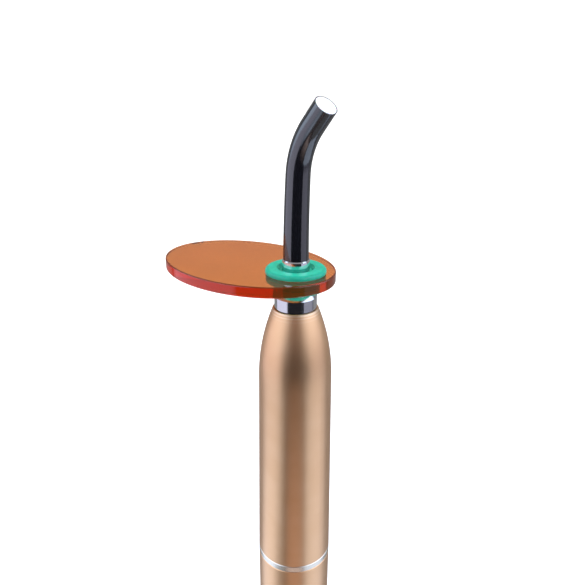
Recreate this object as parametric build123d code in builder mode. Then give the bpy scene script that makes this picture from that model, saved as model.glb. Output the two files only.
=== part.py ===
from build123d import *
from math import cos, radians, sin
import os

# Cordless dental curing light: a rounded metal handle that stands on its tail, a steel
# collar, and a plug-in light guide that carries an oval eye shield in a silicone grommet.
# Millimetres. Z runs up the handle's axis from the middle of the tail face. The light guide
# bends towards +X, and the control panel faces -X.

os.makedirs("parts", exist_ok=True)

# ---- Driving dimensions ---------------------------------------------------------------
# Stations along the handle
tail_cap_top = 6.0
sleeve_top = 72.0
seam = 0.06
ring_height = 2.4
housing_foot = sleeve_top + seam + ring_height + seam
housing_length = 95.48
collar_base = housing_foot + housing_length

# Outer radii of the handle
sleeve_radius = 13.05
shoulder_radius = 12.05
shoulder_length = 24.0
shoulder_foot = collar_base - shoulder_length
rim_radius = 7.26
edge_break = 0.2

# Bores of the upper housing, from the bottom up
running_gap = 0.05
thread_bore = 11.3
thread_bore_top = housing_foot + 13.2
board_bore = 10.6
board_bore_top = collar_base - 27.0
sink_bore = 9.6
sink_bore_top = collar_base - 18.0
lens_bore = 7.8
lens_bore_top = collar_base - 10.0
plug_radius = 6.2

# Steel collar and the socket inside it
collar_radius = 6.77
collar_cylinder = 3.9
collar_top = collar_base + 5.1
collar_mouth = 6.05
socket_radius = 5.05
socket_floor = collar_base - 10.05
collar_foot = collar_base - 18.0
lens_seat = collar_base - 14.0
lens_radius = 5.4
light_hole = 4.4

# Light guide
rod_radius = 4.0
rod_tip_radius = 3.47
jacket_wall = 0.4
jacket_tip_wall = 0.26
rod_foot = collar_base - 10.8
rod_straight_top = collar_base + 16.0
lean_radius = 488.5
lean_angle = 3.0
bend_radius = 24.0
bend_angle = 38.0
tip_length = 7.35

# Steel ferrule of the light guide
ferrule_radius = 4.34
ferrule_plug = socket_radius - running_gap
ferrule_flange = 5.3
ferrule_foot = collar_base - 10.0
ferrule_step = collar_top + running_gap
ferrule_flange_top = ferrule_step + 1.5
ferrule_top = collar_base + 15.9
oring_station = collar_base - 4.6
oring_section = 0.38
oring_gap = 0.04
oring_groove = 4.2
oring_groove_width = 1.0

# Silicone grommet and eye shield
grommet_bore = 4.40
grommet_foot = ferrule_flange_top + running_gap
grommet_low_radius = 9.35
grommet_low_top = collar_base + 8.15
grommet_groove = 7.0
grommet_high_foot = collar_base + 11.75
grommet_high_radius = 9.55
grommet_top = collar_base + 13.2
grommet_dish_radius = 5.9
grommet_dish_floor = collar_base + 12.2
shield_thickness = 3.5
shield_long = 30.6
shield_short = 21.3
shield_offset = 18.5
shield_turn = 14.0
shield_floor = grommet_low_top + running_gap

# LED head
sink_plate_foot = board_bore_top
sink_plate = 3.9
fin_length = 9.0
fin_radius = 9.0
fin_thickness = 1.2
fin_pitch = 4.0
fin_count = 5
pad_thickness = 0.3
pad_radius = 8.0
led_board_thickness = 1.6
led_board_radius = 8.6
led_board_foot = sink_plate_foot + sink_plate + pad_thickness
led_board_top = led_board_foot + led_board_thickness
led_side = 3.45
led_height = 0.8
dome_radius = 1.6
board_screw_circle = 6.4

# Control panel and circuit board
panel_middle = 112.0
panel_width = 11.0
panel_height = 42.0
panel_corner = 3.5
panel_proud = 0.3
panel_inner = 10.2
panel_cut = 6.0
panel_margin = 1.0
panel_plane = Plane.YZ.offset(-sleeve_radius - panel_margin)
window_middle = 125.0
window_width = 7.5
window_height = 9.0
window_corner = 1.0
button_proud = 0.6
button_travel = 0.4
buttons = [("power", 98.5, 3.5), ("mode", 108.5, 2.4), ("time", 116.0, 2.4)]
board_front = -6.2
board_thickness = 1.6
board_back = board_front + board_thickness
board_width = 16.6
board_foot = 91.0
board_top = 131.0
boss_y = 6.2
boss_places = [(side, station) for side in (-boss_y, boss_y) for station in (94.5, 127.5)]
screw_shank = 0.85

# Battery section
coupling_radius = thread_bore - running_gap
coupling_bore = 9.6
coupling_foot = 62.0
coupling_top = 84.0
thread_pitch = 1.5
seal_station = 81.6
seal_section = 0.35
cell_radius = 9.1
cell_foot = 19.5
cell_top = 83.5
tail_cavity = 8.6
insulator_radius = 6.0
contact_recess = 0.3
contact_round = 0.3


same_radius = 0.01


def rims(radius):
    """The circular edges of one radius on the part being made."""
    circles = edges().filter_by(GeomType.CIRCLE)
    return circles.filter_by(lambda rim: abs(rim.radius - radius) < same_radius)


def housing_radius(height):
    """Outer radius of the tapered stretch of the upper housing."""
    share = (height - housing_foot) / (shoulder_foot - housing_foot)
    return sleeve_radius + (shoulder_radius - sleeve_radius) * share


# ---- Handle ---------------------------------------------------------------------------
with BuildPart() as upper_housing:
    with BuildSketch(Plane.XZ):
        with BuildLine():
            taper = Line((sleeve_radius, housing_foot), (shoulder_radius, shoulder_foot))
            shoulder = TangentArc(taper @ 1, (rim_radius, collar_base), tangent=taper % 1)
            Polyline(
                shoulder @ 1,
                (plug_radius, collar_base),
                (plug_radius, lens_bore_top),
                (lens_bore, lens_bore_top),
                (lens_bore, sink_bore_top),
                (sink_bore, sink_bore_top),
                (sink_bore, board_bore_top),
                (board_bore, board_bore_top),
                (board_bore, thread_bore_top),
                (thread_bore, thread_bore_top),
                (thread_bore, housing_foot),
                taper @ 0,
            )
        make_face()
    revolve(axis=Axis.Z)
    chamfer(rims(sleeve_radius), edge_break)
    fillet(rims(rim_radius), edge_break)
    with BuildSketch(panel_plane):
        with Locations((0, panel_middle)):
            RectangleRounded(panel_width, panel_height, panel_corner)
    extrude(amount=panel_cut, mode=Mode.SUBTRACT)
upper_housing.part.label = "upper_housing"
export_step(upper_housing.part, "parts/upper_housing.step")

with BuildPart() as joint_ring:
    with BuildSketch(Plane.XY.offset(sleeve_top + seam)):
        Circle(sleeve_radius)
        Circle(thread_bore, mode=Mode.SUBTRACT)
    extrude(amount=ring_height)
    chamfer(rims(sleeve_radius), edge_break)
joint_ring.part.label = "joint_ring"
export_step(joint_ring.part, "parts/joint_ring.step")

with BuildPart() as battery_sleeve:
    with BuildSketch(Plane.XY.offset(tail_cap_top)):
        Circle(sleeve_radius)
        Circle(coupling_radius, mode=Mode.SUBTRACT)
    extrude(amount=sleeve_top - tail_cap_top)
    chamfer(rims(sleeve_radius), edge_break)
battery_sleeve.part.label = "battery_sleeve"
export_step(battery_sleeve.part, "parts/battery_sleeve.step")

# ---- Tail -----------------------------------------------------------------------------
tail_plug_top = 12.0
tail_floor = 2.5
tail_round = 2.2
with BuildPart() as tail_cap:
    with BuildSketch(Plane.XZ):
        with BuildLine():
            Polyline(
                (insulator_radius, 0),
                (sleeve_radius, 0),
                (sleeve_radius, tail_cap_top),
                (coupling_radius, tail_cap_top),
                (coupling_radius, tail_plug_top),
                (tail_cavity, tail_plug_top),
                (tail_cavity, tail_floor),
                (insulator_radius, tail_floor),
                close=True,
            )
        make_face()
    revolve(axis=Axis.Z)
    chamfer(rims(sleeve_radius).sort_by(Axis.Z)[-1], edge_break)
    fillet(rims(sleeve_radius).sort_by(Axis.Z)[0], tail_round)
tail_cap.part.label = "tail_cap"
export_step(tail_cap.part, "parts/tail_cap.step")

insulator_flange = 7.6
insulator_top = 4.0
charge_ring_outer = 4.7
charge_ring_inner = 3.3
charge_ring_height = 1.2
charge_pin_radius = 1.3
with BuildPart() as contact_insulator:
    with BuildSketch(Plane.XY.offset(contact_recess)):
        Circle(insulator_radius)
    extrude(amount=tail_floor - contact_recess)
    with BuildSketch(Plane.XY.offset(tail_floor)):
        Circle(insulator_flange)
    extrude(amount=insulator_top - tail_floor)
    with BuildSketch(Plane.XY.offset(contact_recess)):
        Circle(charge_ring_outer)
        Circle(charge_ring_inner, mode=Mode.SUBTRACT)
    extrude(amount=charge_ring_height, mode=Mode.SUBTRACT)
    Hole(charge_pin_radius)
contact_insulator.part.label = "contact_insulator"
export_step(contact_insulator.part, "parts/contact_insulator.step")

with BuildPart() as charge_ring:
    with BuildSketch(Plane.XY.offset(contact_recess)):
        Circle(charge_ring_outer)
        Circle(charge_ring_inner, mode=Mode.SUBTRACT)
    extrude(amount=charge_ring_height)
charge_ring.part.label = "charge_ring"
export_step(charge_ring.part, "parts/charge_ring.step")

with BuildPart() as charge_pin:
    with BuildSketch(Plane.XY.offset(contact_recess)):
        Circle(charge_pin_radius)
    extrude(amount=insulator_top - contact_recess)
charge_pin.part.label = "charge_pin"
export_step(charge_pin.part, "parts/charge_pin.step")

tail_board_thickness = 1.2
tail_board_radius = 8.4
with BuildPart() as tail_board:
    with BuildSketch(Plane.XY.offset(insulator_top)):
        Circle(tail_board_radius)
    extrude(amount=tail_board_thickness)
tail_board.part.label = "tail_board"
export_step(tail_board.part, "parts/tail_board.step")

# The negative contact is a cone-shaped coil spring between the tail board and the cell.
spring_wire = 0.45
spring_radius = 5.5
spring_pitch = 3.0
spring_cone = -8.0
spring_foot = insulator_top + tail_board_thickness + spring_wire
with BuildPart() as battery_spring:
    with BuildLine() as spring_path:
        Helix(
            pitch=spring_pitch,
            height=cell_foot - spring_wire - spring_foot,
            radius=spring_radius,
            center=(0, 0, spring_foot),
            cone_angle=spring_cone,
        )
    with BuildSketch(Plane(origin=spring_path.line @ 0, z_dir=spring_path.line % 0)):
        Circle(spring_wire)
    sweep(is_frenet=True)
battery_spring.part.label = "battery_spring"
export_step(battery_spring.part, "parts/battery_spring.step")

# ---- Battery --------------------------------------------------------------------------
holder_radius = 9.35
with BuildPart() as battery_holder:
    with BuildSketch(Plane.XY.offset(tail_plug_top)):
        Circle(coupling_radius)
        Circle(holder_radius, mode=Mode.SUBTRACT)
    extrude(amount=coupling_foot - tail_plug_top)
battery_holder.part.label = "battery_holder"
export_step(battery_holder.part, "parts/battery_holder.step")

wrap_thickness = 0.15
cell_round = 0.8
with BuildPart() as battery_cell:
    with BuildSketch(Plane.XY.offset(cell_foot)):
        Circle(cell_radius)
    extrude(amount=cell_top - cell_foot)
    fillet(edges().filter_by(GeomType.CIRCLE), cell_round)
battery_cell.part.label = "battery_cell"
export_step(battery_cell.part, "parts/battery_cell.step")

with BuildPart() as battery_wrap:
    with BuildSketch(Plane.XY.offset(cell_foot + cell_round)):
        Circle(cell_radius + wrap_thickness)
        Circle(cell_radius, mode=Mode.SUBTRACT)
    extrude(amount=cell_top - cell_foot - 2 * cell_round)
battery_wrap.part.label = "battery_wrap"
export_step(battery_wrap.part, "parts/battery_wrap.step")

cell_cap_radius = 3.2
cell_cap_height = 1.0
with BuildPart() as battery_cap:
    with BuildSketch(Plane.XY.offset(cell_top)):
        Circle(cell_cap_radius)
    extrude(amount=cell_cap_height)
    fillet(edges().sort_by(Axis.Z)[-1], contact_round)
battery_cap.part.label = "battery_cap"
export_step(battery_cap.part, "parts/battery_cap.step")

washer_thickness = 0.3
washer_radius = 7.8
with BuildPart() as battery_washer:
    with BuildSketch(Plane.XY.offset(cell_top)):
        Circle(washer_radius)
        Circle(cell_cap_radius, mode=Mode.SUBTRACT)
    extrude(amount=washer_thickness)
battery_washer.part.label = "battery_washer"
export_step(battery_washer.part, "parts/battery_washer.step")

# ---- Threaded coupling ----------------------------------------------------------------
# The male thread is drawn as parallel grooves at its pitch, inside a plain running bore.
thread_depth = 0.4
thread_turns = 3
thread_first = sleeve_top + ring_height + 1.6
seal_groove_depth = 2 * seal_section
seal_groove_width = 3 * seal_section
seal_groove = coupling_radius - seal_groove_depth
with BuildPart() as coupling_sleeve:
    with BuildSketch(Plane.XY.offset(coupling_foot)):
        Circle(coupling_radius)
        Circle(coupling_bore, mode=Mode.SUBTRACT)
    extrude(amount=coupling_top - coupling_foot)
    with BuildSketch(Plane.XZ):
        for turn in range(thread_turns):
            with Locations((coupling_radius, thread_first + turn * thread_pitch)):
                Polygon((0, -thread_depth), (0, thread_depth), (-thread_depth, 0), align=None)
        with Locations((coupling_radius, seal_station)):
            Rectangle(2 * seal_groove_depth, seal_groove_width)
    revolve(axis=Axis.Z, mode=Mode.SUBTRACT)
coupling_sleeve.part.label = "coupling_sleeve"
export_step(coupling_sleeve.part, "parts/coupling_sleeve.step")

with BuildPart() as coupling_seal:
    with BuildSketch(Plane.XZ):
        with Locations((seal_groove + seal_section, seal_station)):
            Circle(seal_section)
    revolve(axis=Axis.Z)
coupling_seal.part.label = "coupling_seal"
export_step(coupling_seal.part, "parts/coupling_seal.step")

# ---- Contacts at the foot of the upper housing ----------------------------------------
plate_thickness = 2.0
contact_plate_top = thread_bore_top + plate_thickness
contact_radius = 2.8
rivet_radius = 1.2
rivet_top = contact_plate_top + 0.4
lead_radius = 0.45
lead_x = board_back + 1.8
battery_lead_y = 3.2
with BuildPart() as contact_plate:
    with BuildSketch(Plane.XY.offset(thread_bore_top)):
        Circle(board_bore)
        Circle(rivet_radius, mode=Mode.SUBTRACT)
    extrude(amount=plate_thickness)
contact_plate.part.label = "contact_plate"
export_step(contact_plate.part, "parts/contact_plate.step")

with BuildPart() as positive_contact:
    with BuildSketch(Plane.XY.offset(cell_top + cell_cap_height + seam)):
        Circle(contact_radius)
    extrude(amount=thread_bore_top - cell_top - cell_cap_height - seam)
    with BuildSketch(Plane.XY.offset(thread_bore_top)):
        Circle(rivet_radius)
    extrude(amount=rivet_top - thread_bore_top)
    fillet(edges().sort_by(Axis.Z)[0], contact_round)
positive_contact.part.label = "positive_contact"
export_step(positive_contact.part, "parts/positive_contact.step")

return_ring_wall = 1.2
with BuildPart() as return_contact:
    with BuildSketch(Plane.XY.offset(coupling_top + seam)):
        Circle(coupling_radius)
        Circle(coupling_radius - return_ring_wall, mode=Mode.SUBTRACT)
    extrude(amount=thread_bore_top - coupling_top - seam)
return_contact.part.label = "return_contact"
export_step(return_contact.part, "parts/return_contact.step")

# ---- Circuit board and its carrier ----------------------------------------------------
carrier_foot = contact_plate_top
carrier_top = board_top + 1.0
carrier_wall = 1.7
carrier_end = 1.0
boss_radius = 1.9
boss_end = 6.5
screw_depth = 5.0
wire_slot = 9.0
wire_slot_reach = lead_x - board_back + 1.0
with BuildPart() as board_carrier:
    with BuildSketch(Plane.XY.offset(carrier_foot)):
        Circle(board_bore)
    extrude(amount=carrier_top - carrier_foot)
    with BuildSketch(Plane.XY.offset(carrier_foot + carrier_end)):
        Circle(board_bore - carrier_wall)
    extrude(amount=carrier_top - carrier_foot - 2 * carrier_end, mode=Mode.SUBTRACT)
    with BuildSketch(Plane.YZ.offset(board_back)):
        with Locations(*boss_places):
            Circle(boss_radius)
    extrude(amount=boss_end - board_back)
    split(bisect_by=Plane.YZ.offset(board_back), keep=Keep.TOP)
    with BuildSketch(Plane.XY.offset(carrier_foot)):
        with Locations((board_back, 0)):
            Rectangle(2 * wire_slot_reach, wire_slot)
        Circle(rivet_radius + edge_break)
    extrude(amount=carrier_top - carrier_foot, mode=Mode.SUBTRACT)
    with BuildSketch(Plane.YZ.offset(board_back)):
        with Locations(*boss_places):
            Circle(screw_shank)
    extrude(amount=screw_depth, mode=Mode.SUBTRACT)
board_carrier.part.label = "board_carrier"
export_step(board_carrier.part, "parts/board_carrier.step")

board_corner = 1.0
with BuildPart() as main_board:
    with BuildSketch(Plane.YZ.offset(board_front)):
        with Locations((0, (board_foot + board_top) / 2)):
            RectangleRounded(board_width, board_top - board_foot, board_corner)
        with Locations(*boss_places):
            Circle(screw_shank, mode=Mode.SUBTRACT)
    extrude(amount=board_thickness)
main_board.part.label = "main_board"
export_step(main_board.part, "parts/main_board.step")

screw_point_gap = 1.0
screw_head = 1.6
screw_head_height = 1.0
slot_width = 0.5
slot_depth = 0.5
with BuildPart() as carrier_screws:
    with BuildSketch(Plane.YZ.offset(board_front)):
        with Locations(*boss_places):
            Circle(screw_shank)
    extrude(amount=board_thickness + screw_depth - screw_point_gap)
    with BuildSketch(Plane.YZ.offset(board_front)):
        with Locations(*boss_places):
            Circle(screw_head)
    extrude(amount=-screw_head_height)
    with BuildSketch(Plane.YZ.offset(board_front - screw_head_height)):
        with Locations(*boss_places):
            Rectangle(2 * screw_head, slot_width)
    extrude(amount=slot_depth, mode=Mode.SUBTRACT)
carrier_screws.part.label = "carrier_screws"
export_step(carrier_screws.part, "parts/carrier_screws.step")

chip_side = 7.0
chip_height = 1.2
chip_station = 121.5
with BuildPart() as microcontroller:
    with BuildSketch(Plane.YZ.offset(board_back)):
        with Locations((0, chip_station)):
            Rectangle(chip_side, chip_side)
    extrude(amount=chip_height)
    chamfer(faces().sort_by(Axis.X)[-1].edges(), edge_break)
microcontroller.part.label = "microcontroller"
export_step(microcontroller.part, "parts/microcontroller.step")

buzzer_radius = 4.2
buzzer_height = 4.0
buzzer_station = 112.5
buzzer_hole = 0.8
with BuildPart() as buzzer:
    with BuildSketch(Plane.YZ.offset(board_back)):
        with Locations((0, buzzer_station)):
            Circle(buzzer_radius)
    extrude(amount=buzzer_height)
    fillet(faces().sort_by(Axis.X)[-1].edges(), edge_break)
    with BuildSketch(Plane.YZ.offset(board_back + buzzer_height)):
        with Locations((0, buzzer_station)):
            Circle(buzzer_hole)
    extrude(amount=-buzzer_height / 2, mode=Mode.SUBTRACT)
buzzer.part.label = "buzzer"
export_step(buzzer.part, "parts/buzzer.step")

inductor_radius = 3.4
inductor_height = 4.2
inductor_station = 104.0
inductor_neck = 2.6
inductor_flange = 0.9
with BuildPart() as inductor:
    with BuildSketch(Plane.YZ.offset(board_back)):
        with Locations((0, inductor_station)):
            Circle(inductor_radius)
    extrude(amount=inductor_height)
    with BuildSketch(Plane.YZ.offset(board_back + inductor_flange)):
        with Locations((0, inductor_station)):
            Circle(inductor_radius)
            Circle(inductor_neck, mode=Mode.SUBTRACT)
    extrude(amount=inductor_height - 2 * inductor_flange, mode=Mode.SUBTRACT)
inductor.part.label = "inductor"
export_step(inductor.part, "parts/inductor.step")

capacitor_radius = 1.8
capacitor_height = 5.2
capacitor_station = 97.6
capacitor_y = 2.1
with BuildPart() as capacitors:
    for side in (-capacitor_y, capacitor_y):
        with BuildSketch(Plane.YZ.offset(board_back)):
            with Locations((side, capacitor_station)):
                Circle(capacitor_radius)
        extrude(amount=capacitor_height)
    fillet(faces().group_by(Axis.X)[-1].edges(), edge_break)
capacitors.part.label = "capacitors"
export_step(capacitors.part, "parts/capacitors.step")

# Each switch sits on the front of the board, behind its button.
switch_side = 4.0
switch_height = 1.3
plunger_radius = 0.9
plunger_height = 0.4
for key, station, cap_radius in buttons:
    with BuildPart() as key_switch:
        with BuildSketch(Plane.YZ.offset(board_front)):
            with Locations((0, station)):
                Rectangle(switch_side, switch_side)
        extrude(amount=-switch_height)
        with BuildSketch(Plane.YZ.offset(board_front - switch_height)):
            with Locations((0, station)):
                Circle(plunger_radius)
        extrude(amount=-plunger_height)
    key_switch.part.label = f"{key}_switch"
    export_step(key_switch.part, f"parts/{key}_switch.step")

module_width = 7.2
module_height = 8.6
module_depth = 3.4
with BuildPart() as display_module:
    with BuildSketch(Plane.YZ.offset(board_front)):
        with Locations((0, window_middle)):
            Rectangle(module_width, module_height)
    extrude(amount=-module_depth)
    chamfer(faces().sort_by(Axis.X)[0].edges(), edge_break)
display_module.part.label = "display_module"
export_step(display_module.part, "parts/display_module.step")

# ---- Control panel --------------------------------------------------------------------
# The bezel and the window are slices of a cone shell that follows the housing's taper.
panel_low = panel_middle - panel_height / 2 - panel_margin
panel_high = panel_middle + panel_height / 2 + panel_margin
button_gap = 0.06
with BuildPart() as panel_bezel:
    with BuildSketch(Plane.XZ):
        with BuildLine():
            Polyline(
                (panel_inner, panel_low),
                (housing_radius(panel_low) + panel_proud, panel_low),
                (housing_radius(panel_high) + panel_proud, panel_high),
                (panel_inner, panel_high),
                close=True,
            )
        make_face()
    revolve(axis=Axis.Z)
    with BuildSketch(panel_plane):
        with Locations((0, panel_middle)):
            RectangleRounded(panel_width, panel_height, panel_corner)
    extrude(amount=sleeve_radius, mode=Mode.INTERSECT)
    with BuildSketch(panel_plane):
        with Locations((0, window_middle)):
            RectangleRounded(window_width, window_height, window_corner)
        for key, station, cap_radius in buttons:
            with Locations((0, station)):
                Circle(cap_radius + button_gap)
    extrude(amount=sleeve_radius, mode=Mode.SUBTRACT)
panel_bezel.part.label = "panel_bezel"
export_step(panel_bezel.part, "parts/panel_bezel.step")

window_wall = 1.1
window_low = window_middle - window_height
window_high = window_middle + window_height
with BuildPart() as display_window:
    with BuildSketch(Plane.XZ):
        with BuildLine():
            Polyline(
                (housing_radius(window_low) + edge_break - window_wall, window_low),
                (housing_radius(window_low) + edge_break, window_low),
                (housing_radius(window_high) + edge_break, window_high),
                (housing_radius(window_high) + edge_break - window_wall, window_high),
                close=True,
            )
        make_face()
    revolve(axis=Axis.Z)
    with BuildSketch(panel_plane):
        with Locations((0, window_middle)):
            RectangleRounded(window_width, window_height, window_corner)
    extrude(amount=sleeve_radius, mode=Mode.INTERSECT)
display_window.part.label = "display_window"
export_step(display_window.part, "parts/display_window.step")

# A button is a domed cap with a flange that keeps it behind the bezel, and a stem that
# stops just short of its switch when the button is pressed in all the way.
flange_front = -9.2
flange_thickness = 0.5
flange_width = 0.6
stem_radius = 1.2
stem_end = board_front - switch_height - plunger_height - button_travel - running_gap
button_round = 0.45
for key, station, cap_radius in buttons:
    cap_front = -(housing_radius(station) + panel_proud + button_proud)
    with BuildPart() as button:
        with BuildSketch(Plane.YZ.offset(cap_front)):
            with Locations((0, station)):
                Circle(cap_radius)
        extrude(amount=flange_front - cap_front)
        fillet(faces().sort_by(Axis.X)[0].edges(), button_round)
        with BuildSketch(Plane.YZ.offset(flange_front)):
            with Locations((0, station)):
                Circle(cap_radius + flange_width)
        extrude(amount=flange_thickness)
        with BuildSketch(Plane.YZ.offset(flange_front + flange_thickness)):
            with Locations((0, station)):
                Circle(stem_radius)
        extrude(amount=stem_end - flange_front - flange_thickness)
    button.part.label = f"{key}_button"
    export_step(button.part, f"parts/{key}_button.step")

# ---- LED head -------------------------------------------------------------------------
led_lead_y = 2.0
lead_hole = 0.8
board_screw_shank = 0.9
board_screw_reach = 2.0
lead_places = [(lead_x, -led_lead_y), (lead_x, led_lead_y)]
board_screw_places = [(0, -board_screw_circle), (0, board_screw_circle)]
with BuildPart() as heat_sink:
    with BuildSketch(Plane.XY.offset(sink_plate_foot)):
        Circle(sink_bore)
    extrude(amount=sink_plate)
    with BuildSketch(Plane.XY.offset(sink_plate_foot)):
        with GridLocations(0, fin_pitch, 1, fin_count):
            Rectangle(2 * fin_radius, fin_thickness)
        Circle(fin_radius, mode=Mode.INTERSECT)
    extrude(amount=-fin_length)
    with BuildSketch(Plane.XY.offset(sink_plate_foot)):
        with Locations(*lead_places):
            Circle(lead_hole)
    extrude(amount=sink_plate, mode=Mode.SUBTRACT)
    with BuildSketch(Plane.XY.offset(sink_plate_foot + sink_plate)):
        with Locations(*board_screw_places):
            Circle(board_screw_shank)
    extrude(amount=-board_screw_reach, mode=Mode.SUBTRACT)
heat_sink.part.label = "heat_sink"
export_step(heat_sink.part, "parts/heat_sink.step")

with BuildPart() as thermal_pad:
    with BuildSketch(Plane.XY.offset(sink_plate_foot + sink_plate)):
        Circle(pad_radius)
        with Locations(*lead_places):
            Circle(lead_hole, mode=Mode.SUBTRACT)
        with Locations(*board_screw_places):
            Circle(board_screw_shank, mode=Mode.SUBTRACT)
    extrude(amount=pad_thickness)
thermal_pad.part.label = "thermal_pad"
export_step(thermal_pad.part, "parts/thermal_pad.step")

with BuildPart() as led_board:
    with BuildSketch(Plane.XY.offset(led_board_foot)):
        Circle(led_board_radius)
        with Locations(*board_screw_places):
            Circle(board_screw_shank, mode=Mode.SUBTRACT)
    extrude(amount=led_board_thickness)
led_board.part.label = "led_board"
export_step(led_board.part, "parts/led_board.step")

with BuildPart() as board_screws:
    with BuildSketch(Plane.XY.offset(led_board_top)):
        with Locations(*board_screw_places):
            Circle(screw_head)
    extrude(amount=screw_head_height)
    with BuildSketch(Plane.XY.offset(led_board_top)):
        with Locations(*board_screw_places):
            Circle(board_screw_shank)
    extrude(amount=-led_board_thickness - pad_thickness - board_screw_reach)
    with BuildSketch(Plane.XY.offset(led_board_top + screw_head_height)):
        with Locations(*board_screw_places):
            Rectangle(2 * screw_head, slot_width)
    extrude(amount=-slot_depth, mode=Mode.SUBTRACT)
board_screws.part.label = "board_screws"
export_step(board_screws.part, "parts/board_screws.step")

with BuildPart() as led_package:
    with BuildSketch(Plane.XY.offset(led_board_top)):
        Rectangle(led_side, led_side)
    extrude(amount=led_height)
led_package.part.label = "led_package"
export_step(led_package.part, "parts/led_package.step")

led_top = led_board_top + led_height
with BuildPart() as led_dome:
    with BuildSketch(Plane.XZ):
        with BuildLine():
            dome_base = Line((0, led_top), (dome_radius, led_top))
            JernArc(start=dome_base @ 1, tangent=(0, 1), radius=dome_radius, arc_size=90)
            Line((0, led_top + dome_radius), (0, led_top))
        make_face()
    revolve(axis=Axis.Z)
led_dome.part.label = "led_dome"
export_step(led_dome.part, "parts/led_dome.step")

retainer_foot = lens_seat - 2.2
retainer_top = lens_seat - 1.0
reflector_mouth = 4.7
reflector_throat = 1.9
reflector_foot = 3.2
reflector_rim = lens_radius - 0.1
reflector_slope = (-0.25, -1)
with BuildPart() as reflector_cup:
    with BuildSketch(Plane.XZ):
        with BuildLine():
            Polyline(
                (reflector_throat, led_top),
                (reflector_foot, led_top),
                (reflector_rim, collar_foot),
                (reflector_rim, retainer_foot),
                (reflector_mouth, retainer_foot),
            )
            TangentArc(
                (reflector_mouth, retainer_foot),
                (reflector_throat, led_top),
                tangent=reflector_slope,
            )
        make_face()
    revolve(axis=Axis.Z)
reflector_cup.part.label = "reflector_cup"
export_step(reflector_cup.part, "parts/reflector_cup.step")

retainer_hole = 4.2
with BuildPart() as lens_retainer:
    with BuildSketch(Plane.XY.offset(retainer_foot)):
        Circle(lens_radius)
        Circle(retainer_hole, mode=Mode.SUBTRACT)
    extrude(amount=retainer_top - retainer_foot)
lens_retainer.part.label = "lens_retainer"
export_step(lens_retainer.part, "parts/lens_retainer.step")

lens_crown = lens_seat + 2.0
with BuildPart() as collimator_lens:
    with BuildSketch(Plane.XZ):
        with BuildLine():
            Polyline(
                (0, lens_crown),
                (0, retainer_top),
                (lens_radius, retainer_top),
                (lens_radius, lens_seat),
                (light_hole, lens_seat),
            )
            TangentArc((0, lens_crown), (light_hole, lens_seat), tangent=(1, 0))
        make_face()
    revolve(axis=Axis.Z)
collimator_lens.part.label = "collimator_lens"
export_step(collimator_lens.part, "parts/collimator_lens.step")

collar_relief = 0.15
with BuildPart() as head_collar:
    with BuildSketch(Plane.XZ):
        with BuildLine():
            Polyline(
                (lens_radius, collar_foot),
                (plug_radius, collar_foot),
                (plug_radius, collar_base),
                (collar_radius - collar_relief, collar_base),
                (collar_radius, collar_base + collar_relief),
                (collar_radius, collar_base + collar_cylinder),
                (collar_mouth, collar_top),
                (socket_radius, collar_top),
                (socket_radius, socket_floor),
                (light_hole, socket_floor),
                (light_hole, lens_seat),
                (lens_radius, lens_seat),
                close=True,
            )
        make_face()
    revolve(axis=Axis.Z)
head_collar.part.label = "head_collar"
export_step(head_collar.part, "parts/head_collar.step")

# ---- Wires inside the handle ----------------------------------------------------------
lead_bend = 1.0
lead_joint = 2.0
for polarity, side in (("red", led_lead_y), ("black", -led_lead_y)):
    with BuildPart() as led_lead:
        with BuildLine(Plane.XZ.offset(-side)) as lead_path:
            FilletPolyline(
                (board_back, board_top - lead_joint),
                (lead_x, board_top - lead_joint),
                (lead_x, led_board_foot),
                radius=lead_bend,
            )
        with BuildSketch(Plane(origin=lead_path.line @ 0, z_dir=lead_path.line % 0)):
            Circle(lead_radius)
        sweep()
    led_lead.part.label = f"led_lead_{polarity}"
    export_step(led_lead.part, f"parts/led_lead_{polarity}.step")

for polarity, side in (("red", battery_lead_y), ("black", -battery_lead_y)):
    with BuildPart() as battery_lead:
        with BuildLine(Plane.XZ.offset(-side)) as lead_path:
            FilletPolyline(
                (lead_x, contact_plate_top),
                (lead_x, board_foot + lead_joint),
                (board_back, board_foot + lead_joint),
                radius=lead_bend,
            )
        with BuildSketch(Plane(origin=lead_path.line @ 0, z_dir=lead_path.line % 0)):
            Circle(lead_radius)
        sweep()
    battery_lead.part.label = f"battery_lead_{polarity}"
    export_step(battery_lead.part, f"parts/battery_lead_{polarity}.step")

# ---- Light guide ----------------------------------------------------------------------
# The glass rod is straight in its ferrule, leans a little, then turns through the bend.
with BuildLine(Plane.XZ) as guide_axis:
    lean = JernArc(
        start=(0, rod_straight_top), tangent=(0, 1), radius=lean_radius, arc_size=-lean_angle
    )
    bend = JernArc(start=lean @ 1, tangent=lean % 1, radius=bend_radius, arc_size=-bend_angle)
    Line(bend @ 1, bend @ 1 + (bend % 1) * tip_length)
guide_wire = guide_axis.wire()


def tapered_rod(foot_radius, tip_radius):
    """A rod that is a plain cylinder at its foot and tapers evenly along the guide's axis."""
    with BuildPart() as rod:
        for share, radius in ((0, foot_radius), (1, tip_radius)):
            middle = guide_wire.position_at(share)
            heading = guide_wire.tangent_at(share)
            with BuildSketch(Plane(origin=middle, x_dir=(0, 1, 0), z_dir=heading)):
                Circle(radius)
        sweep(path=guide_wire, multisection=True)
        with BuildSketch(Plane.XY.offset(rod_foot)):
            Circle(foot_radius)
        extrude(amount=rod_straight_top - rod_foot)
    return rod.part


clear_rod = tapered_rod(rod_radius - jacket_wall, rod_tip_radius - jacket_tip_wall)
full_rod = tapered_rod(rod_radius, rod_tip_radius)

with BuildPart() as guide_core:
    add(clear_rod)
guide_core.part.label = "guide_core"
export_step(guide_core.part, "parts/guide_core.step")

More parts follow.
